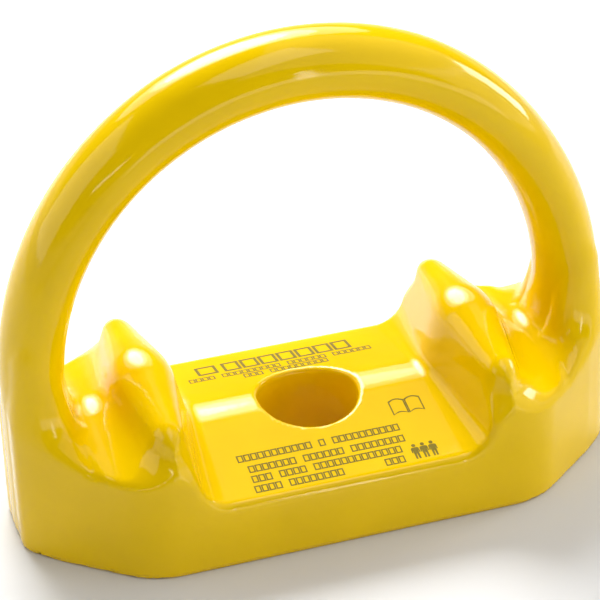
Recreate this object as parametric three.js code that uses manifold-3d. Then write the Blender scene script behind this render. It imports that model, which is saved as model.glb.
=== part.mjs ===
// Drop-forged roof anchor eye for one through-bolt, powder coated yellow.
// Units are millimetres. +X runs along the base, +Y to the back, +Z up.
// The origin is on the underside, at the middle of the base.
//
// The real anchor is one forging. It is laid out here as its named regions: a saddle with the
// bolt hole, two horns, two feet and an oval eye. Neighbouring regions keep a narrow gap.
// The dies part on the plane y = 0, so every top surface falls away from that plane at one
// draft slope, and the plan outline alone shapes the ends of the base.

import * as THREE from "three";
import { mergeVertices } from "three/addons/utils/BufferGeometryUtils.js";
import Module from "manifold-3d";

// ---- driving dimensions ----
const LENGTH = 105.6;          // base, end to end
const DEPTH = 46.2;            // base, front to back
const FRONT_EDGE_LENGTH = 68.2; // straight part of the front and back edges
const FRONT_CORNER_RADIUS = 14; // front edge into chamfer, in plan
const NOSE_RADIUS = 16.7;      // rounded ends of the base in plan

const DRAFT = 0.2;             // rise of a top surface towards the parting plane, per mm of depth
const PARTING_LAND = 0.6;      // narrow strip without draft along the parting plane

const SADDLE_HEIGHT = 16.1;    // ridge of the saddle
const SADDLE_FILLET = 1.8;     // saddle floor into horn, on the parting plane
const BOLT_HOLE_DIAMETER = 17.5; // medium clearance hole for an M16 bolt

const HORN_HEIGHT = 29.7;      // crest of a horn
const HORN_RADIUS = 5.8;       // rounding of the crest, on the parting plane
const HORN_X = 29;             // crest centre from the middle
const HORN_LEAN = 13.5;        // degrees, saddle side of a horn off the vertical
const HORN_NOSE_RADIUS = 6.5;  // crest into the front and back faces

const GROOVE_RADIUS = 3.75;    // groove between horn and leg, on the parting plane
const GROOVE_X = 38.5;         // groove centre from the middle
const GROOVE_HEIGHT = 22;      // bottom of the groove

const EYE_CENTRE_HEIGHT = 27.8; // widest level of the eye
const EYE_HALF_WIDTH = 47.5;   // bar centre line, sideways
const EYE_HALF_HEIGHT = 50.8;  // bar centre line, upwards
const BAR_HALF_WIDTH = 5.3;    // oval bar, in the plane of the eye
const BAR_HALF_DEPTH = 7.7;    // oval bar, front to back

const FLARE_RADIUS = 17;       // leg spreading into the foot
const FLARE_TOP = 35;          // level where the spread begins

const SADDLE_END_X = 20;       // saddle region ends here
const FOOT_START_X = 38.5;     // foot region starts here
const FOOT_TOP = 36;           // the bar starts above this level
const CROWN_START = 62;        // the crown of the eye starts above this level
const GAP = 0.3;               // between neighbouring regions

// ---- derived dimensions ----
const HALF_DEPTH = DEPTH / 2;
const FRONT_EDGE_X = FRONT_EDGE_LENGTH / 2;
const NOSE_CENTRE_X = LENGTH / 2 - NOSE_RADIUS;
const DRAFT_INSET = DRAFT * HALF_DEPTH;
const FAR = 70;                // beyond the object on every side
const BELOW = -15;             // below the underside
const ARC_STEPS = 5;
const ROUND_STEPS = 40;

const wasm = await Module();
wasm.setup();

// ---- solids from three.js geometry ----
function solid(geometry) {
  const bare = geometry.clone();
  bare.deleteAttribute("normal");
  bare.deleteAttribute("uv");
  const merged = mergeVertices(bare, 1e-4);
  return new wasm.Manifold(new wasm.Mesh({
    numProp: 3,
    vertProperties: new Float32Array(merged.attributes.position.array),
    triVerts: new Uint32Array(merged.index.array),
  }));
}

function block(xMin, xMax, zMin, zMax) {
  const box = new THREE.BoxGeometry(xMax - xMin, 2 * FAR, zMax - zMin);
  box.translate((xMin + xMax) / 2, 0, (zMin + zMax) / 2);
  return solid(box);
}

function geometryOf(manifold) {
  const mesh = manifold.getMesh();
  const geometry = new THREE.BufferGeometry();
  geometry.setAttribute("position", new THREE.BufferAttribute(mesh.vertProperties, 3));
  geometry.setIndex(new THREE.BufferAttribute(mesh.triVerts, 1));
  geometry.computeVertexNormals();
  return geometry;
}

// ---- plan outline of the base ----
// A straight front edge, a corner arc, then a flat chamfer that runs tangent into the round nose.
function planOutline() {
  const toNose = new THREE.Vector2(NOSE_CENTRE_X - FRONT_EDGE_X, HALF_DEPTH);
  const chamfer = toNose.angle() - Math.asin(NOSE_RADIUS / toNose.length());
  const nose = Math.PI / 2 - chamfer;
  const cornerX = FRONT_EDGE_X - FRONT_CORNER_RADIUS * Math.tan(chamfer / 2);
  const cornerY = HALF_DEPTH - FRONT_CORNER_RADIUS;
  const quarter = Math.PI / 2;
  const shape = new THREE.Shape();
  shape.absarc(cornerX, -cornerY, FRONT_CORNER_RADIUS, -quarter, chamfer - quarter);
  shape.absarc(NOSE_CENTRE_X, 0, NOSE_RADIUS, -nose, nose);
  shape.absarc(cornerX, cornerY, FRONT_CORNER_RADIUS, nose, quarter);
  shape.absarc(-cornerX, cornerY, FRONT_CORNER_RADIUS, quarter, quarter + chamfer);
  shape.absarc(-NOSE_CENTRE_X, 0, NOSE_RADIUS, Math.PI - nose, Math.PI + nose);
  shape.absarc(-cornerX, -cornerY, FRONT_CORNER_RADIUS, Math.PI + nose, 3 * quarter);
  shape.closePath();
  return shape;
}

function planPrism() {
  const settings = { depth: FAR, bevelEnabled: false, curveSegments: 2 * ARC_STEPS };
  return solid(new THREE.ExtrudeGeometry(planOutline(), settings));
}

// ---- elevation of the base on the parting plane ----
// From the middle of the saddle over the horn, through the groove and up the inside of the leg.
function halfElevation() {
  const lean = THREE.MathUtils.degToRad(HORN_LEAN);
  const crest = new THREE.Vector2(HORN_X, HORN_HEIGHT - HORN_RADIUS);
  const groove = new THREE.Vector2(GROOVE_X, GROOVE_HEIGHT + GROOVE_RADIUS);

  // Saddle flank: a line tangent to the crest that leans towards the horn.
  const flankStart = crest.clone().add(
    new THREE.Vector2(-Math.cos(lean), Math.sin(lean)).multiplyScalar(HORN_RADIUS));
  const filletHeight = SADDLE_HEIGHT + SADDLE_FILLET;
  const flankOffset = SADDLE_FILLET / Math.cos(lean);
  const filletX = flankStart.x - flankOffset - (flankStart.y - filletHeight) * Math.tan(lean);

  // Groove flank: the line that touches both the crest and the groove between them.
  const across = groove.clone().sub(crest);
  const turn = Math.acos((HORN_RADIUS + GROOVE_RADIUS) / across.length());
  const flankAngle = across.angle() + turn;

  const path = new THREE.Path();
  path.moveTo(0, SADDLE_HEIGHT);
  path.absarc(filletX, filletHeight, SADDLE_FILLET, -Math.PI / 2, -lean);
  path.absarc(crest.x, crest.y, HORN_RADIUS, Math.PI - lean, flankAngle, true);
  path.absarc(groove.x, groove.y, GROOVE_RADIUS, flankAngle - Math.PI, 0);
  path.lineTo(GROOVE_X + GROOVE_RADIUS, FAR);
  path.lineTo(FAR, FAR);
  path.lineTo(FAR, BELOW);
  return path.getPoints(ARC_STEPS);
}

// The elevation drawn in by the draft slope towards the front and back faces.
function draftedBody() {
  const right = halfElevation();
  const left = right.slice(1).reverse().map((p) => new THREE.Vector2(-p.x, p.y));
  const shape = new THREE.Shape([...right.reverse(), ...left.reverse()]);
  const settings = {
    depth: PARTING_LAND,
    bevelEnabled: true,
    bevelSegments: 1,
    bevelThickness: HALF_DEPTH,
    bevelSize: DRAFT_INSET,
    bevelOffset: -DRAFT_INSET,
  };
  const geometry = new THREE.ExtrudeGeometry(shape, settings);
  geometry.rotateX(Math.PI / 2);
  geometry.translate(0, PARTING_LAND / 2, 0);
  return solid(geometry);
}

// ---- base regions ----
const base = planPrism().intersect(draftedBody());

function saddle() {
  const hole = new THREE.CylinderGeometry(
    BOLT_HOLE_DIAMETER / 2, BOLT_HOLE_DIAMETER / 2, FAR, ROUND_STEPS);
  hole.rotateX(Math.PI / 2);
  return base.intersect(block(-SADDLE_END_X, SADDLE_END_X, BELOW, FAR)).subtract(solid(hole));
}

// Side profile of a horn: the crest falls away both ways and rounds over into the two faces.
function hornProfile() {
  const slope = Math.atan(DRAFT);
  const crestHeight = HORN_HEIGHT + DRAFT * PARTING_LAND / 2;
  const centreY = HALF_DEPTH - HORN_NOSE_RADIUS;
  const centreZ = crestHeight - DRAFT * centreY - HORN_NOSE_RADIUS / Math.cos(slope);
  const shape = new THREE.Shape();
  shape.moveTo(-HALF_DEPTH, BELOW);
  shape.lineTo(HALF_DEPTH, BELOW);
  shape.absarc(centreY, centreZ, HORN_NOSE_RADIUS, 0, Math.PI / 2 - slope);
  shape.lineTo(0, crestHeight);
  shape.absarc(-centreY, centreZ, HORN_NOSE_RADIUS, Math.PI / 2 + slope, Math.PI);
  shape.closePath();
  return shape;
}

function horn(side) {
  const inner = side * (SADDLE_END_X + GAP);
  const outer = side * (FOOT_START_X - GAP);
  const settings = { depth: Math.abs(outer - inner), bevelEnabled: false, curveSegments: ARC_STEPS };
  const rounded = new THREE.ExtrudeGeometry(hornProfile(), settings);
  rounded.rotateX(Math.PI / 2);
  rounded.rotateZ(Math.PI / 2);
  rounded.translate(Math.min(inner, outer), 0, 0);
  return base.intersect(solid(rounded));
}

// An oval column that spreads downwards into the foot.
function flaredColumn(side) {
  const wide = 2 * FLARE_RADIUS;
  const profile = new THREE.Path();
  profile.moveTo(0, BELOW);
  profile.lineTo(wide, BELOW);
  profile.lineTo(wide, FLARE_TOP - FLARE_RADIUS);
  profile.absarc(BAR_HALF_DEPTH + FLARE_RADIUS, FLARE_TOP, FLARE_RADIUS, -Math.PI / 2, -Math.PI, true);
  profile.lineTo(BAR_HALF_DEPTH, FOOT_TOP);
  profile.lineTo(0, FOOT_TOP);
  const column = new THREE.LatheGeometry(profile.getPoints(ARC_STEPS), ROUND_STEPS);
  column.rotateX(Math.PI / 2);
  column.scale(BAR_HALF_WIDTH / BAR_HALF_DEPTH, 1, 1);
  column.translate(side * legX(FOOT_TOP), 0, 0);
  return solid(column);
}

// Centre line of the bar at a given level.
function legX(height) {
  const rise = (height - EYE_CENTRE_HEIGHT) / EYE_HALF_HEIGHT;
  return EYE_HALF_WIDTH * Math.sqrt(1 - rise * rise);
}

function foot(side) {
  const near = side * FOOT_START_X;
  const end = side * FAR;
  const region = block(Math.min(near, end), Math.max(near, end), BELOW, FOOT_TOP);
  return base.intersect(region).intersect(flaredColumn(side));
}

// ---- eye ----
// An oval bar turned about the y axis, then stretched a little in height.
function eyeBar() {
  const profile = [];
  const steps = 16;
  for (let i = 0; i <= steps; i += 1) {
    const angle = (2 * Math.PI * i) / steps;
    const x = EYE_HALF_WIDTH + BAR_HALF_WIDTH * Math.cos(angle);
    profile.push(new THREE.Vector2(x, BAR_HALF_DEPTH * Math.sin(angle)));
  }
  const bar = new THREE.LatheGeometry(profile, 2 * ROUND_STEPS);
  bar.scale(1, 1, EYE_HALF_HEIGHT / EYE_HALF_WIDTH);
  bar.translate(0, 0, EYE_CENTRE_HEIGHT);
  return solid(bar);
}

const bar = eyeBar();

function eyeSide(side) {
  const inner = Math.min(0, side * FAR);
  const outer = Math.max(0, side * FAR);
  return bar.intersect(block(inner, outer, FOOT_TOP + GAP, CROWN_START));
}

function eyeCrown() {
  return bar.intersect(block(-FAR, FAR, CROWN_START + GAP, 2 * FAR));
}

// ---- scene ----
function coating(color) {
  return new THREE.MeshStandardMaterial({ color, roughness: 0.22, metalness: 0 });
}

const YELLOW = 0xf2c40c;
const YELLOW_SHADE = 0xe0ae08;

const regions = [
  ["saddle", saddle(), YELLOW],
  ["left_horn", horn(-1), YELLOW_SHADE],
  ["right_horn", horn(1), YELLOW_SHADE],
  ["left_foot", foot(-1), YELLOW],
  ["right_foot", foot(1), YELLOW],
  ["eye_left_side", eyeSide(-1), YELLOW_SHADE],
  ["eye_right_side", eyeSide(1), YELLOW_SHADE],
  ["eye_crown", eyeCrown(), YELLOW],
];

const anchor = new THREE.Group();
for (const [name, manifold, color] of regions) {
  const mesh = new THREE.Mesh(geometryOf(manifold), coating(color));
  mesh.name = name;
  anchor.add(mesh);
}

export default anchor;
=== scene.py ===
"""Looks of the roof anchor: one seamless powder-coated skin over the CAD regions, and its marks."""

import math

import bmesh
import bpy
import numpy as np
from mathutils import Matrix, Vector


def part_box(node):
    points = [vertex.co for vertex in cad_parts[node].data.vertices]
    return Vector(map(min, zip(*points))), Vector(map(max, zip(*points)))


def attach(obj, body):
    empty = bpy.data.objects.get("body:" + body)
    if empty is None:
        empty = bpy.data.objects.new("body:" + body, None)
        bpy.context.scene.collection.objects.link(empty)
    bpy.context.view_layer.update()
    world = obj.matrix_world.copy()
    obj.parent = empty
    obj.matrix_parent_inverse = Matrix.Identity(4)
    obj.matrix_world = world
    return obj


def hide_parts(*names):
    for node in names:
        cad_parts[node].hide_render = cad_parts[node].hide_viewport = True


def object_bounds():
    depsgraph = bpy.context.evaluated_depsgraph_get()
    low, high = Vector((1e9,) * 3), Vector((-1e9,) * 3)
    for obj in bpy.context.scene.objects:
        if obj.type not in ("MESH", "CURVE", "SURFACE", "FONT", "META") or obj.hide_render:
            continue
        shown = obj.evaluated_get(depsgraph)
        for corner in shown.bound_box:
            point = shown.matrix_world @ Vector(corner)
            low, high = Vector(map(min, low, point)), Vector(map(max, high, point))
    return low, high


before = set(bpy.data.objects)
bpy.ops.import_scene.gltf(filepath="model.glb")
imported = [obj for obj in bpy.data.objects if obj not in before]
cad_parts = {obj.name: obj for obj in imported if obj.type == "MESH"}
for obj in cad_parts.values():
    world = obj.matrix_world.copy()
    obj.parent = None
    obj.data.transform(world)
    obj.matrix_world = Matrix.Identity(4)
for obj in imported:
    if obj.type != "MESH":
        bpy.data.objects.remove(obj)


def bounds_as_lists():
    """The whole object's box as two plain lists of numbers, in metres."""
    return [[float(value) for value in corner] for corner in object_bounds()]


CAD_BOX = bounds_as_lists()

# ---- driving dimensions, in millimetres ----
MM = 0.001                # one millimetre in metres
HALF_LENGTH = CAD_BOX[1][0] / MM
HALF_DEPTH = CAD_BOX[1][1] / MM
HEIGHT = CAD_BOX[1][2] / MM
SADDLE_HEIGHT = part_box("saddle")[1].z / MM
HORN_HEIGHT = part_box("left_horn")[1].z / MM

FRONT_EDGE_X = 34.1       # end of the straight front edge
NOSE_RADIUS = 16.7        # rounded ends of the base in plan
FRONT_CORNER_RADIUS = 14  # front face into chamfer, in plan
DRAFT = 0.175             # walls draw in by this much per mm away from the parting plane
FALL = 0.025              # and everything on top drops by this much more
RIDGE_HALF_WIDTH = 3.8    # rounded strip along the parting plane
RIDGE_DROP = (DRAFT + FALL) * RIDGE_HALF_WIDTH / 2
SADDLE_FILLET = 1.8
HORN_RADIUS = 5.8
HORN_X = 29
HORN_LEAN = math.radians(13.5)
GROOVE_RADIUS = 3.75
GROOVE_X = 38.5
GROOVE_HEIGHT = 22
LEG_SIDE_LEAN = math.radians(22)  # the groove opens here, behind the face of the bar
EYE_CENTRE_HEIGHT = 27.8
BAR_HALF_WIDTH = 5.3
BAR_CROWN_EXTRA = 0.6     # the bar is a little thicker at the crown
BAR_HALF_DEPTH = 7.7
FLARE_RADIUS = 17
FLARE_TOP = 35
FLARE_INSET = 1.5         # the flare starts this far inside the bar
FLARE_BEND = 0.97         # past this share of its radius the flare runs on straight
FLARE_COVER = 2           # it is cut off this far above its start, inside the bar
RELEASE_X = GROOVE_X + 3.5  # inwards from here the flare stops limiting the base
RELEASE_WIDTH = 8
RELEASE_DEPTH = 12
EDGE_RADIUS = 1.3         # front and back faces into the saddle and the grooves
HORN_NOSE_RADIUS = 6.5    # and into the tips of the horns
HORN_BLEND_HEIGHT = 16    # the nose radius grows in from this height upwards
HORN_BLEND_RISE = 7
HORN_BLEND_X = 33         # and fades out from here outwards
HORN_BLEND_RUN = 5
FLARE_EDGE_RADIUS = 2.5
LEG_FILLET = 4.0          # bar into flare, on the front and back
LEG_FILLET_START = 2      # it grows in from this distance off the parting plane
LEG_FILLET_RUN = 5
INNER_FILLET = 2.5        # and on the side of the groove
FLUSH_FILLET = 0.2        # where the bar and the foot are flush
UNDERSIDE_RADIUS = 0.5
HOLE_RADIUS = 8.75
HOLE_RIM_RADIUS = 0.9

EYE_HALF_HEIGHT = HEIGHT - EYE_CENTRE_HEIGHT - BAR_HALF_WIDTH - BAR_CROWN_EXTRA
EYE_HALF_WIDTH = HALF_LENGTH - BAR_HALF_WIDTH
NOSE_CENTRE_X = HALF_LENGTH - NOSE_RADIUS


# ---- distance fields: negative inside, positive outside ----
TINY = 1e-9               # keeps divisions finite and ties in order


def round_max(a, b, radius):
    """Where both fields hold, with the edge between them rounded."""
    corner = np.hypot(np.maximum(a + radius, 0), np.maximum(b + radius, 0))
    return np.minimum(-radius, np.maximum(a, b)) + corner


def round_min(a, b, radius):
    """Either field, with a fillet where they meet."""
    return -round_max(-a, -b, radius)


def soft_max(a, b, width):
    """Where both fields hold, blended over a width that suits shallow edges."""
    near = np.maximum(width - np.abs(a - b), 0)
    return np.maximum(a, b) + near * near / (4 * width)


def smooth_step(value):
    """From 0 to 1 as the value goes from 0 to 1, level at both ends."""
    t = np.clip(value, 0, 1)
    return t * t * (3 - 2 * t)


def plan_field(x, y):
    """Distance from the plan outline of the base: front edge, corner arc, chamfer, round nose."""
    to_nose = (NOSE_CENTRE_X - FRONT_EDGE_X, HALF_DEPTH)
    reach = math.hypot(*to_nose)
    chamfer = math.atan2(to_nose[1], to_nose[0]) - math.asin(NOSE_RADIUS / reach)
    normal = (math.sin(chamfer), math.cos(chamfer))
    flat = (x - FRONT_EDGE_X) * normal[0] + (y - HALF_DEPTH) * normal[1]
    nose = np.hypot(x - NOSE_CENTRE_X, y) - NOSE_RADIUS
    on_nose = y * normal[0] < (x - NOSE_CENTRE_X) * normal[1]
    distance = np.where(on_nose, nose, np.maximum(y - HALF_DEPTH, flat))

    centre_x = FRONT_EDGE_X - FRONT_CORNER_RADIUS * math.tan(chamfer / 2)
    from_x, from_y = x - centre_x, y - HALF_DEPTH + FRONT_CORNER_RADIUS
    on_corner = (from_x > 0) & (from_y * normal[0] > from_x * normal[1])
    return np.where(on_corner, np.hypot(from_x, from_y) - FRONT_CORNER_RADIUS, distance)


def arc_points(centre, radius, start, end, steps=24):
    """Points on an arc from one angle to another."""
    angles = np.linspace(start, end, steps)
    return [(centre[0] + radius * math.cos(a), centre[1] + radius * math.sin(a)) for a in angles]


def elevation_outline():
    """Half of the base's top outline on the parting plane, from the saddle up the leg."""
    saddle_z = SADDLE_HEIGHT + RIDGE_DROP
    crest = np.array([HORN_X, HORN_HEIGHT + RIDGE_DROP - HORN_RADIUS])
    groove = np.array([GROOVE_X, GROOVE_HEIGHT + RIDGE_DROP + GROOVE_RADIUS])
    flank_x = crest[0] - HORN_RADIUS * math.cos(HORN_LEAN)
    flank_z = crest[1] + HORN_RADIUS * math.sin(HORN_LEAN)
    fillet_z = saddle_z + SADDLE_FILLET
    flank_run = (flank_z - fillet_z) * math.tan(HORN_LEAN)
    fillet_x = flank_x - SADDLE_FILLET / math.cos(HORN_LEAN) - flank_run
    across = groove - crest
    turn = math.acos((HORN_RADIUS + GROOVE_RADIUS) / np.hypot(*across))
    flank = math.atan2(across[1], across[0]) + turn
    far = 3 * HALF_LENGTH
    return np.array(
        [(-far, saddle_z)]
        + arc_points((fillet_x, fillet_z), SADDLE_FILLET, -math.pi / 2, -HORN_LEAN)
        + arc_points(crest, HORN_RADIUS, math.pi - HORN_LEAN, flank)
        + arc_points(groove, GROOVE_RADIUS, flank - math.pi, -LEG_SIDE_LEAN)
        + [(GROOVE_X + GROOVE_RADIUS + far * math.tan(LEG_SIDE_LEAN), far)]
    )


def elevation_field(x, z):
    """Signed distance from the elevation outline, negative below it and outward of it."""
    points = elevation_outline()
    best = np.full(x.shape, np.inf)
    sign = np.ones(x.shape)
    for (ax, az), (bx, bz) in zip(points[:-1], points[1:]):
        ex, ez = bx - ax, bz - az
        length_squared = ex * ex + ez * ez
        along = np.clip(((x - ax) * ex + (z - az) * ez) / length_squared, 0, 1)
        dx, dz = x - ax - along * ex, z - az - along * ez
        distance = dx * dx + dz * dz
        side = ex * (z - az) - ez * (x - ax)
        nearer = distance < best - TINY
        sign = np.where(nearer, np.where(side > 0, 1.0, -1.0), sign)
        best = np.where(nearer, distance, best)
    return sign * np.sqrt(best)


def bar_field(x, y, z):
    """The oval bar of the eye, with straight legs below its widest level."""
    rise = np.maximum(z - EYE_CENTRE_HEIGHT, 0)
    level = np.hypot(x / EYE_HALF_WIDTH, rise / EYE_HALF_HEIGHT) + TINY
    slope = np.hypot(x / EYE_HALF_WIDTH ** 2, rise / EYE_HALF_HEIGHT ** 2) / level + TINY
    across = (level - 1) / slope
    half_width = BAR_HALF_WIDTH + BAR_CROWN_EXTRA * np.minimum(rise / EYE_HALF_HEIGHT, 1) ** 4
    oval = np.hypot(across / half_width, y / BAR_HALF_DEPTH) + TINY
    oval_slope = np.hypot(across / half_width ** 2, y / BAR_HALF_DEPTH ** 2) / oval + TINY
    return (oval - 1) / oval_slope


def flare_field(x, y, z):
    """Oval column that spreads downwards into the foot, and sets no limit over the groove."""
    steepest = FLARE_BEND * FLARE_RADIUS
    drop = np.maximum(FLARE_TOP - z, 0)
    bent = np.minimum(drop, steepest)
    rest = np.sqrt(FLARE_RADIUS ** 2 - bent ** 2)
    half_depth = BAR_HALF_DEPTH - FLARE_INSET + FLARE_RADIUS - rest + (drop - bent) * bent / rest
    outward = np.maximum(x - EYE_HALF_WIDTH, 0) * BAR_HALF_DEPTH / BAR_HALF_WIDTH
    side = (np.hypot(outward, y) - half_depth) * rest / FLARE_RADIUS
    release = RELEASE_DEPTH * smooth_step((RELEASE_X - x) / RELEASE_WIDTH)
    return round_max(side, z - FLARE_TOP - FLARE_COVER, FLARE_EDGE_RADIUS) - release


def anchor_field(points):
    """The whole forging at an array of points, in millimetres."""
    x, y, z = np.abs(points[:, 0]), np.abs(points[:, 1]), points[:, 2]
    ridge = np.where(y < RIDGE_HALF_WIDTH, (y * y / RIDGE_HALF_WIDTH + RIDGE_HALF_WIDTH) / 2, y)
    top = elevation_field(x, z + FALL * ridge) + DRAFT * ridge
    top = soft_max(top, flare_field(x, y, z), FLARE_EDGE_RADIUS)
    plan = plan_field(x, y)
    over_saddle = smooth_step((z - HORN_BLEND_HEIGHT) / HORN_BLEND_RISE)
    in_horn = over_saddle * (1 - smooth_step((x - HORN_BLEND_X) / HORN_BLEND_RUN))
    base = round_max(plan, top, EDGE_RADIUS + (HORN_NOSE_RADIUS - EDGE_RADIUS) * in_horn)
    groove_side = INNER_FILLET * smooth_step((EYE_HALF_WIDTH - x) / BAR_HALF_WIDTH)
    face_side = LEG_FILLET * smooth_step((y - LEG_FILLET_START) / LEG_FILLET_RUN)
    fillet = FLUSH_FILLET + np.maximum(face_side, groove_side)
    body = round_min(base, bar_field(x, y, z), fillet)
    body = round_max(body, -z, UNDERSIDE_RADIUS)
    body = np.maximum(body, x - HALF_LENGTH)
    hole = np.where(z < EYE_CENTRE_HEIGHT, HOLE_RADIUS - np.hypot(x, y), -HOLE_RADIUS)
    return round_max(body, hole, HOLE_RIM_RADIUS)


# ---- mesh from a field ----
GRID_CELL = 0.7
GRADIENT_STEP = 0.02
LEAST_SLOPE_SQUARED = 0.05  # keeps a step towards the surface finite where the field is flat
RELAX_ROUNDS = 4
RELAX_SHARE = 0.5         # of the way to the middle of the neighbours
LANDING_STEPS = 2
AROUND_EDGE = ((0, 0), (1, 0), (1, 1), (0, 1))  # steps back to the cells round a grid edge


def field_gradient(points):
    gradient = np.empty_like(points)
    for axis in range(3):
        offset = np.zeros(3)
        offset[axis] = GRADIENT_STEP
        gradient[:, axis] = anchor_field(points + offset) - anchor_field(points - offset)
    return gradient / (2 * GRADIENT_STEP)


def field_on_grid(cell):
    """Lowest corner of a cubic grid round the anchor, and the field at its points."""
    margin = 2 * cell
    low = np.array([-HALF_LENGTH, -HALF_DEPTH, 0]) - margin
    high = np.array([HALF_LENGTH, HALF_DEPTH, HEIGHT]) + margin
    counts = np.ceil((high - low) / cell).astype(int) + 1
    axes = [low[i] + cell * np.arange(counts[i]) for i in range(3)]
    values = np.empty(counts)
    for i, x in enumerate(axes[0]):
        y, z = np.meshgrid(axes[1], axes[2], indexing="ij")
        points = np.stack([np.full(y.size, x), y.ravel(), z.ravel()], axis=1)
        values[i] = anchor_field(points).reshape(y.shape)
    return low, values


def edge_crossings(values, axis):
    """Grid edges along an axis that cross the surface: starts, shares along, and which leave it."""
    first = [slice(None)] * 3
    second = [slice(None)] * 3
    first[axis] = slice(None, -1)
    second[axis] = slice(1, None)
    a, b = values[tuple(first)], values[tuple(second)]
    index = np.argwhere((a < 0) != (b < 0))
    at_start, at_end = a[tuple(index.T)], b[tuple(index.T)]
    return index, at_start / (at_start - at_end), at_start < 0


def cells_around(index, axis):
    """The four cells round each grid edge along an axis, in order."""
    cells = []
    for du, dv in AROUND_EDGE:
        owner = index.copy()
        owner[:, (axis + 1) % 3] -= du
        owner[:, (axis + 2) % 3] -= dv
        cells.append(tuple(owner.T))
    return cells


def grid_surface(cell):
    """Surface-nets mesh of the field on a cubic grid: vertices and outward quads."""
    low, values = field_on_grid(cell)
    shape = tuple(count - 1 for count in values.shape)
    sums = np.zeros(shape + (3,))
    hits = np.zeros(shape)
    crossings = []
    for axis in range(3):
        index, along, leaves = edge_crossings(values, axis)
        point = index.astype(float)
        point[:, axis] += along
        cells = cells_around(index, axis)
        for owner in cells:
            np.add.at(sums, owner, low + cell * point)
            np.add.at(hits, owner, 1)
        crossings.append((cells, leaves))

    active = hits > 0
    ids = np.full(shape, -1)
    ids[active] = np.arange(active.sum())
    quads = []
    for cells, leaves in crossings:
        quad = np.stack([ids[owner] for owner in cells], axis=1)
        quad[~leaves] = quad[~leaves][:, ::-1]
        quads.append(quad)
    return sums[active] / hits[active][:, None], np.concatenate(quads)


def neighbour_middle(vertices, edges):
    """Mean of each vertex's neighbours."""
    total = np.zeros_like(vertices)
    count = np.zeros(len(vertices))
    np.add.at(total, edges[:, 0], vertices[edges[:, 1]])
    np.add.at(total, edges[:, 1], vertices[edges[:, 0]])
    np.add.at(count, edges.ravel(), 1)
    return total / count[:, None]


def along_gradient(amount, gradient):
    """A step whose product with the gradient is the amount."""
    length_squared = np.maximum(np.sum(gradient ** 2, axis=1), LEAST_SLOPE_SQUARED)
    return gradient * (amount / length_squared)[:, None]


def relaxed(vertices, quads):
    """Evens out the quads, and puts every vertex back on the surface each time."""
    edges = np.concatenate([quads[:, [i, (i + 1) % 4]] for i in range(4)])
    for _ in range(RELAX_ROUNDS):
        move = neighbour_middle(vertices, edges) - vertices
        gradient = field_gradient(vertices)
        move -= along_gradient(np.sum(move * gradient, axis=1), gradient)
        vertices = vertices + RELAX_SHARE * move
        for _ in range(LANDING_STEPS):
            vertices = vertices - along_gradient(anchor_field(vertices), field_gradient(vertices))
    return vertices


def make_skin():
    """The seamless forged body as one mesh, in metres."""
    vertices, quads = grid_surface(GRID_CELL)
    vertices = relaxed(vertices, quads)
    normals = field_gradient(vertices)
    normals /= np.linalg.norm(normals, axis=1)[:, None]
    mesh = bpy.data.meshes.new("anchor_skin")
    mesh.from_pydata((vertices * MM).tolist(), [], quads.tolist())
    mesh.update()
    mesh.polygons.foreach_set("use_smooth", [True] * len(mesh.polygons))
    mesh.normals_split_custom_set_from_vertices(normals.tolist())
    skin = bpy.data.objects.new("anchor_skin", mesh)
    bpy.context.scene.collection.objects.link(skin)
    return skin


# ---- etched marks on the saddle ----
MARK_SINK = 0.05          # below the surface of the coat
MARK_RISE = 0.02          # and above it
CELL_WIDTH = 0.86         # one blank cell of a marked line
CELL_HEIGHT = 1.35
CELL_PITCH = 1.2
LINE_STROKE = 0.26
BOOK_SPOT = (15, 7.1)     # x, and distance from the ridge
BOOK_STROKE = 0.24
PAGE_START = 0.14         # stroke of a page from the spine, so that two pages don't touch
PAGE_WIDTH = 2.6
PAGE_HEIGHT = 3.1
PAGE_SAG = 0.5
PAGE_STEPS = 8
FIGURE_XS = (12.9, 14.45, 16)
FIGURE_TOP = 17.5         # distance from the ridge
HEAD_LEVEL = 0.36
HEAD_RADIUS = 0.36
FIGURE_HALF = (           # shoulder, arm, side, leg and crotch
    (0.45, 0.82),
    (0.68, 0.98),
    (0.74, 2.02),
    (0.52, 2.02),
    (0.46, 1.3),
    (0.44, 3.45),
    (0.1, 3.45),
    (0.06, 2.3),
)

PLATE_STROKE = 0.55       # the row of larger blank rectangles on the back slope
PLATE_COUNT = 7
PLATE_SIZE = (2.6, 3.4)
PLATE_SPOT = (-10.4, 14.4)
PLATE_PITCH = 3.4
BADGE_SIZE = (3.2, 3.2)   # and the square beside it
BADGE_SPOT = (-15.2, 14.6)

FRONT_LINES = (           # start x, distance from the ridge at its foot, lengths of its runs
    (-16.5, 13.7, (11, 1, 10)),
    (-15.3, 16.4, (7, 6, 8)),
    (-15.4, 18.7, (3, 4, 13)),
    (-15.6, 21.0, (4, 8)),
    (7.2, 21.0, (3,)),
)
BACK_LINES = (
    (-17.6, 11.9, (4, 9, 6, 6)),
    (-8.2, 9.9, (3, 9)),
)


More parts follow.
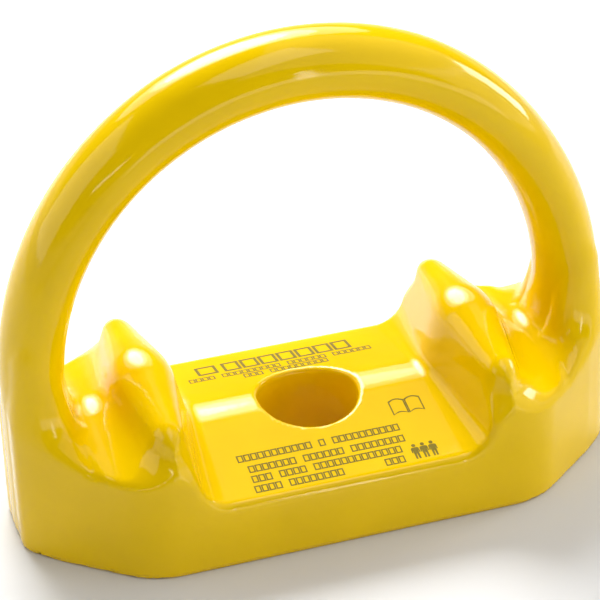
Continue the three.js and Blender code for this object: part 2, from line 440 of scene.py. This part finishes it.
class MarkMesh:
    """Thin closed plates on the two slopes of the saddle. Outlines are (x, distance from ridge).

    The side is 1 for the back slope and -1 for the front one.
    """

    def __init__(self):
        self.vertices = []
        self.faces = []

    def level(self, outline, lift, side):
        """Adds an outline at a height above the slope, and gives the number of its first point."""
        first = len(self.vertices)
        slope = DRAFT + FALL
        tilt = math.hypot(1, slope)
        for x, v in outline:
            top = SADDLE_HEIGHT + RIDGE_DROP - slope * v
            self.vertices.append((x, side * (v + lift * slope / tilt), top + lift / tilt))
        return first

    def wall(self, low, top, count):
        """Faces between two closed rows of points."""
        for i in range(count):
            j = (i + 1) % count
            self.faces.append((low + j, low + i, top + i, top + j))

    def plate(self, outline, side):
        """The area inside one outline."""
        count = len(outline)
        low = self.level(outline, -MARK_SINK, side)
        top = self.level(outline, MARK_RISE, side)
        self.faces.append(tuple(range(low, low + count)))
        self.faces.append(tuple(range(top + count - 1, top - 1, -1)))
        self.wall(low, top, count)

    def ring(self, outer, inner, side):
        """The band between two outlines with the same number of points."""
        count = len(outer)
        low, low_inner = self.level(outer, -MARK_SINK, side), self.level(inner, -MARK_SINK, side)
        top, top_inner = self.level(outer, MARK_RISE, side), self.level(inner, MARK_RISE, side)
        self.wall(low, top, count)
        self.wall(top_inner, low_inner, count)
        self.wall(low_inner, low, count)
        self.wall(top, top_inner, count)

    def frame(self, x, v, size, stroke, side):
        """A blank rectangle drawn as a line of the given width."""
        outlines = []
        for grow in (stroke / 2, -stroke / 2):
            x0, x1 = x - grow, x + size[0] + grow
            v0, v1 = v - grow, v + size[1] + grow
            outlines.append([(x0, v0), (x1, v0), (x1, v1), (x0, v1)])
        self.ring(*outlines, side)

    def disc(self, x, v, radius, side, steps=14):
        angles = [2 * math.pi * i / steps for i in range(steps)]
        self.plate([(x + radius * math.cos(a), v + radius * math.sin(a)) for a in angles], side)

    def text_block(self, lines, side):
        """Blank cells in runs, in place of lettering."""
        for start, foot, runs in lines:
            x = start
            inner = foot - CELL_HEIGHT if side < 0 else foot
            for run in runs:
                for _ in range(run):
                    self.frame(x, inner, (CELL_WIDTH, CELL_HEIGHT), LINE_STROKE, side)
                    x += CELL_PITCH
                x += CELL_PITCH


def page_outline(x, v, way, grow):
    """One page of the open book, its edge moved out by grow. The book's spine is at x."""
    near, far = [], []
    for i in range(PAGE_STEPS + 1):
        along = i / PAGE_STEPS
        page_x = x + way * (PAGE_START - grow + (PAGE_WIDTH + 2 * grow) * along)
        sag = PAGE_SAG * math.sin(math.pi * along)
        near.append((page_x, v - sag - grow))
        far.append((page_x, v + PAGE_HEIGHT - sag + grow))
    return near + far[::-1]


def add_book(marks, x, v, side):
    """Open book: read the instructions."""
    for way in (-1, 1):
        outer = page_outline(x, v, way, BOOK_STROKE / 2)
        inner = page_outline(x, v, way, -BOOK_STROKE / 2)
        marks.ring(outer, inner, side)


def add_figure(marks, x, v, side):
    """One standing person, head towards the ridge."""
    marks.disc(x, v + HEAD_LEVEL, HEAD_RADIUS, side)
    right = [(x + dx, v + dv) for dx, dv in FIGURE_HALF]
    left = [(x - dx, v + dv) for dx, dv in reversed(FIGURE_HALF)]
    marks.plate(right + left, side)


def draw_marks(marks):
    """Lines of blank cells, the book, three people, and the row of larger blanks behind."""
    marks.text_block(FRONT_LINES, -1)
    marks.text_block(BACK_LINES, 1)
    add_book(marks, *BOOK_SPOT, -1)
    for x in FIGURE_XS:
        add_figure(marks, x, FIGURE_TOP, -1)
    marks.frame(*BADGE_SPOT, BADGE_SIZE, PLATE_STROKE, 1)
    for i in range(PLATE_COUNT):
        marks.frame(PLATE_SPOT[0] + PLATE_PITCH * i, PLATE_SPOT[1], PLATE_SIZE, PLATE_STROKE, 1)


def make_marks():
    """All the marks as one mesh, in metres."""
    marks = MarkMesh()
    draw_marks(marks)
    vertices = [[MM * float(value) for value in vertex] for vertex in marks.vertices]
    mesh = bpy.data.meshes.new("etched_marks")
    mesh.from_pydata(vertices, [], marks.faces)
    outward = bmesh.new()
    outward.from_mesh(mesh)
    bmesh.ops.recalc_face_normals(outward, faces=outward.faces)
    outward.to_mesh(mesh)
    outward.free()
    item = bpy.data.objects.new("etched_marks", mesh)
    bpy.context.scene.collection.objects.link(item)
    return item


# ---- materials ----
COAT_THIN = (0.79, 0.515, 0.0, 1)
COAT_THICK = (0.85, 0.555, 0.0, 1)
COAT_SMOOTH = (0.06, 0.06, 0.06, 1)  # roughness, as greys
COAT_DULL = (0.11, 0.11, 0.11, 1)
TONE_NOISE = (70, 3)      # features per metre, and detail
GLOSS_NOISE = (160, 2)
WAVE_NOISE = (110, 2)
PEEL_NOISE = (620, 2)
SPECKLE_NOISE = (1500, 2)
TONE_SPREAD = 0.16        # of the noise either side of its middle
GLOSS_SPREAD = 0.2
SPECKLE_SPREAD = 0.5
COAT_IOR = 1.36
WAVE_DEPTH = 0.00005      # metres, slow waves of the forged surface
PEEL_DEPTH = 0.000012     # orange peel of the coat
MARK_DARK = (0.15, 0.115, 0.012, 1)
MARK_LIGHT = (0.27, 0.21, 0.025, 1)
MARK_ROUGHNESS = 0.8
MARK_IOR = 1.25
FLOOR_HALF = 1.2          # metres
FLOOR_TONE = (0.66, 0.66, 0.66, 1)
FLOOR_ROUGHNESS = 0.6


class Shading:
    """A node material and the few kinds of node that its finish is made from."""

    def __init__(self, name):
        self.material = bpy.data.materials.new(name)
        self.material.use_nodes = True
        self.tree = self.material.node_tree
        self.shader = self.tree.nodes["Principled BSDF"]

    def link(self, output, name):
        self.tree.links.new(output, self.shader.inputs[name])

    def noise(self, scale, detail):
        """Noise with so many features per metre."""
        place = self.tree.nodes.new("ShaderNodeTexCoord")
        node = self.tree.nodes.new("ShaderNodeTexNoise")
        node.inputs["Scale"].default_value = scale
        node.inputs["Detail"].default_value = detail
        self.tree.links.new(place.outputs["Object"], node.inputs["Vector"])
        return node.outputs["Fac"]

    def ramp(self, factor, first, second, spread):
        """From the first colour to the second, over a spread either side of one half."""
        node = self.tree.nodes.new("ShaderNodeValToRGB")
        low, high = node.color_ramp.elements
        low.position = 0.5 - spread
        low.color = first
        high.position = 0.5 + spread
        high.color = second
        self.tree.links.new(factor, node.inputs["Fac"])
        return node.outputs["Color"]

    def bump(self, height, distance, previous=None):
        node = self.tree.nodes.new("ShaderNodeBump")
        node.inputs["Strength"].default_value = 1
        node.inputs["Distance"].default_value = distance
        self.tree.links.new(height, node.inputs["Height"])
        if previous:
            self.tree.links.new(previous, node.inputs["Normal"])
        return node.outputs["Normal"]


def powder_coat():
    """Thick gloss coat: faint orange peel, slow waves of the forged surface, uneven thickness."""
    coat = Shading("powder_coat")
    tone = coat.ramp(coat.noise(*TONE_NOISE), COAT_THIN, COAT_THICK, TONE_SPREAD)
    coat.link(tone, "Base Color")
    gloss = coat.ramp(coat.noise(*GLOSS_NOISE), COAT_SMOOTH, COAT_DULL, GLOSS_SPREAD)
    coat.link(gloss, "Roughness")
    waves = coat.bump(coat.noise(*WAVE_NOISE), WAVE_DEPTH)
    coat.link(coat.bump(coat.noise(*PEEL_NOISE), PEEL_DEPTH, waves), "Normal")
    coat.shader.inputs["IOR"].default_value = COAT_IOR
    return coat.material


def etched_coat():
    """Matt grey-brown laser marking, a little uneven."""
    etched = Shading("etched_mark")
    speckle = etched.noise(*SPECKLE_NOISE)
    etched.link(etched.ramp(speckle, MARK_DARK, MARK_LIGHT, SPECKLE_SPREAD), "Base Color")
    etched.shader.inputs["Roughness"].default_value = MARK_ROUGHNESS
    etched.shader.inputs["IOR"].default_value = MARK_IOR
    return etched.material


# ---- stage ----
def make_floor():
    half = FLOOR_HALF
    corners = [(-half, -half, 0), (half, -half, 0), (half, half, 0), (-half, half, 0)]
    mesh = bpy.data.meshes.new("floor")
    mesh.from_pydata(corners, [], [(0, 1, 2, 3)])
    floor = bpy.data.objects.new("floor", mesh)
    bpy.context.scene.collection.objects.link(floor)
    white = Shading("floor_white")
    white.shader.inputs["Base Color"].default_value = FLOOR_TONE
    white.shader.inputs["Roughness"].default_value = FLOOR_ROUGHNESS
    mesh.materials.append(white.material)


OBJECT_MIDDLE = Vector((0, 0, 0.04))  # metres, what the lights and the camera face
WALL_TOP = 0.08           # sine of the elevation up to which the surroundings are pale
WALL_FADE = 0.2           # and from which they are dim
WALL_TONE = (0.6, 0.6, 0.6, 1)
CEILING_TONE = (0.06, 0.06, 0.06, 1)


def add_softbox(name, azimuth, elevation, size, radiance, distance=1.0, shape="RECTANGLE"):
    """A soft light facing the object from a distance in metres.

    Azimuth 0 is behind the object and 90 is on its right, both in degrees.
    """
    azimuth, elevation = math.radians(azimuth), math.radians(elevation)
    across = Vector((math.cos(azimuth), -math.sin(azimuth), 0))
    level = Vector((math.sin(azimuth), math.cos(azimuth), 0))
    towards = math.cos(elevation) * level + math.sin(elevation) * Vector((0, 0, 1))
    area = size[0] * size[1] * (math.pi / 4 if shape == "ELLIPSE" else 1)
    light = bpy.data.lights.new(name, "AREA")
    light.shape = shape
    light.size, light.size_y = size
    light.energy = radiance * math.pi * area
    item = bpy.data.objects.new(name, light)
    turn = Matrix((across, towards.cross(across), towards)).transposed().to_4x4()
    item.matrix_world = Matrix.Translation(OBJECT_MIDDLE + distance * towards) @ turn
    item.visible_camera = False
    bpy.context.scene.collection.objects.link(item)


def make_lights():
    """A graded softbox behind, strips for the long highlights, and dim panels that fill."""
    add_softbox("back_softbox", -2, 37, (0.50, 0.46), 10, 1.0, "ELLIPSE")
    add_softbox("back_halo", -1, 37, (0.74, 0.58), 5.5, 1.02, "ELLIPSE")
    add_softbox("back_glow", 0, 35, (1.2, 0.70), 2.6, 1.04, "ELLIPSE")
    add_softbox("overhead", 100, 58, (1.6, 1.2), 0.7)
    add_softbox("front_overhead", 150, 84, (0.6, 0.5), 2.3)
    add_softbox("right_strip", 75, 16, (0.26, 0.36), 10)
    add_softbox("right_side", 108, 18, (0.8, 0.5), 1.1)
    add_softbox("front_strip", 165, 18, (0.05, 0.45), 9)
    add_softbox("front_fill", 160, 7, (1.4, 0.24), 1.9)
    add_softbox("left_strip", -132, 25, (0.34, 0.028), 11)
    add_softbox("left_back", -72, 24, (0.8, 0.7), 1.6)
    bpy.context.scene.view_settings.view_transform = "Standard"


def make_studio_walls():
    """Surroundings that are pale near the horizon, like low walls, and dim higher up."""
    world = bpy.data.worlds.new("studio")
    bpy.context.scene.world = world
    world.use_nodes = True
    nodes, links = world.node_tree.nodes, world.node_tree.links
    direction = nodes.new("ShaderNodeTexCoord")
    split = nodes.new("ShaderNodeSeparateXYZ")
    height = nodes.new("ShaderNodeValToRGB")
    low, high = height.color_ramp.elements
    low.position = WALL_TOP
    low.color = WALL_TONE
    high.position = WALL_FADE
    high.color = CEILING_TONE
    links.new(direction.outputs["Generated"], split.inputs["Vector"])
    links.new(split.outputs["Z"], height.inputs["Fac"])
    links.new(height.outputs["Color"], nodes["Background"].inputs["Color"])


CAMERA_AZIMUTH = math.radians(16.775)
CAMERA_ELEVATION = math.radians(30.596)
CAMERA_ROLL = math.radians(-1.929)
CAMERA_DISTANCE = 0.4452  # metres
SENSOR_WIDTH = 36         # millimetres
CAMERA_LENS = 159.35
NEAREST_SEEN = 0.01       # metres
CAMERA_SHIFT = (-0.0055, -0.0492)


def make_camera():
    """Sees the object from the front left and above, with a slight roll."""
    sin_a, cos_a = math.sin(CAMERA_AZIMUTH), math.cos(CAMERA_AZIMUTH)
    sin_e, cos_e = math.sin(CAMERA_ELEVATION), math.cos(CAMERA_ELEVATION)
    view = Vector((sin_a * cos_e, cos_a * cos_e, -sin_e))
    level = Vector((cos_a, -sin_a, 0))
    upward = level.cross(view)
    right = math.cos(CAMERA_ROLL) * level + math.sin(CAMERA_ROLL) * upward
    up = -math.sin(CAMERA_ROLL) * level + math.cos(CAMERA_ROLL) * upward
    data = bpy.data.cameras.new("camera")
    camera = bpy.data.objects.new("camera", data)
    bpy.context.scene.collection.objects.link(camera)
    turn = Matrix((right, up, -view)).transposed().to_4x4()
    camera.matrix_world = Matrix.Translation(OBJECT_MIDDLE - CAMERA_DISTANCE * view) @ turn
    data.sensor_width = SENSOR_WIDTH
    data.lens = CAMERA_LENS
    data.shift_x, data.shift_y = CAMERA_SHIFT
    data.clip_start = NEAREST_SEEN
    bpy.context.scene.camera = camera


skin = make_skin()
skin.data.materials.append(powder_coat())
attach(skin, "root")
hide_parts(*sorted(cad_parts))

marks = make_marks()
marks.data.materials.append(etched_coat())
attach(marks, "root")

make_floor()
make_lights()
make_studio_walls()
make_camera()
